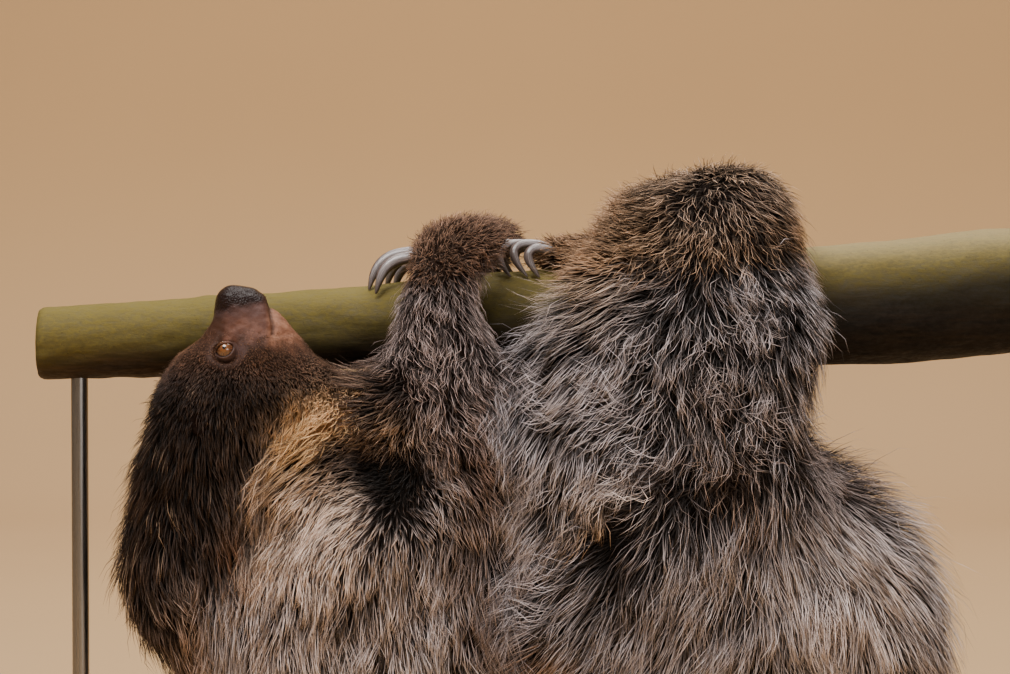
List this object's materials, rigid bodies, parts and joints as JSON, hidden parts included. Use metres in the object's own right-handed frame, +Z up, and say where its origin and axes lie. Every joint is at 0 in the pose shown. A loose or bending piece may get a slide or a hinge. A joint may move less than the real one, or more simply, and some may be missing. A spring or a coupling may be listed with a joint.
{
  "type": "two-toed sloth figure",
  "caption": "Life-size still sloth hanging belly up under a cut pole, held at both ends by rods on a flat base; for display.",
  "frame": {"origin": "centre of the underside of the stand's base plate", "axes": "+Z up; +X along the pole, from the sloth's head end towards its rump end; -Y towards the sloth's right side, the side that shows most"},
  "size_m": [0.82, 0.34, 0.6197],
  "materials": {
    "coat_head": "short dark brown fur flecked with tan; bare pinkish brown muzzle",
    "coat_neck": "long brown-black fur",
    "coat_trunk": "long shaggy fur, tan tips over dark brown, blond at the throat",
    "coat_shoulder": "long shaggy fur with light tan tips",
    "coat_forearm": "medium shaggy fur, grey-tan over dark brown",
    "coat_hand": "short dark brown fur",
    "coat_leg": "long tangled fur with whitish tan tips over dark brown",
    "coat_foot": "dark to reddish brown fur",
    "ear_skin": "thin dark skin",
    "nose_skin": "moist dark skin, semi-gloss",
    "eye": "glossy amber-brown glass eye",
    "claw_horn": "blue-grey horn, smooth",
    "perch_bark": "green mossy bark on a cut pole",
    "stand_wood": "dark satin wood",
    "stand_metal": "brushed"
  },
  "bodies": {
    "root": {"trunk": "coat_trunk", "neck": "coat_neck", "head": "coat_head", "nose": "nose_skin", "ear_right": "ear_skin", "ear_left": "ear_skin", "eye_right": "eye", "eye_left": "eye", "upper_arm_right": "coat_shoulder", "upper_arm_left": "coat_shoulder", "forearm_right": "coat_forearm", "forearm_left": "coat_forearm", "hand_right": "coat_hand", "hand_left": "coat_hand", "thigh_right": "coat_leg", "thigh_left": "coat_leg", "shank_right": "coat_leg", "shank_left": "coat_leg", "foot_right": "coat_foot", "foot_left": "coat_foot", "claw_hand_right_1": "claw_horn", "claw_hand_right_2": "claw_horn", "claw_hand_left_1": "claw_horn", "claw_hand_left_2": "claw_horn", "claw_foot_right_1": "claw_horn", "claw_foot_right_2": "claw_horn", "claw_foot_right_3": "claw_horn", "claw_foot_left_1": "claw_horn", "claw_foot_left_2": "claw_horn", "claw_foot_left_3": "claw_horn", "perch": "perch_bark", "stand_base": "stand_wood", "stand_rod_left": "stand_metal", "stand_rod_right": "stand_metal"}
  },
  "joints": []
}
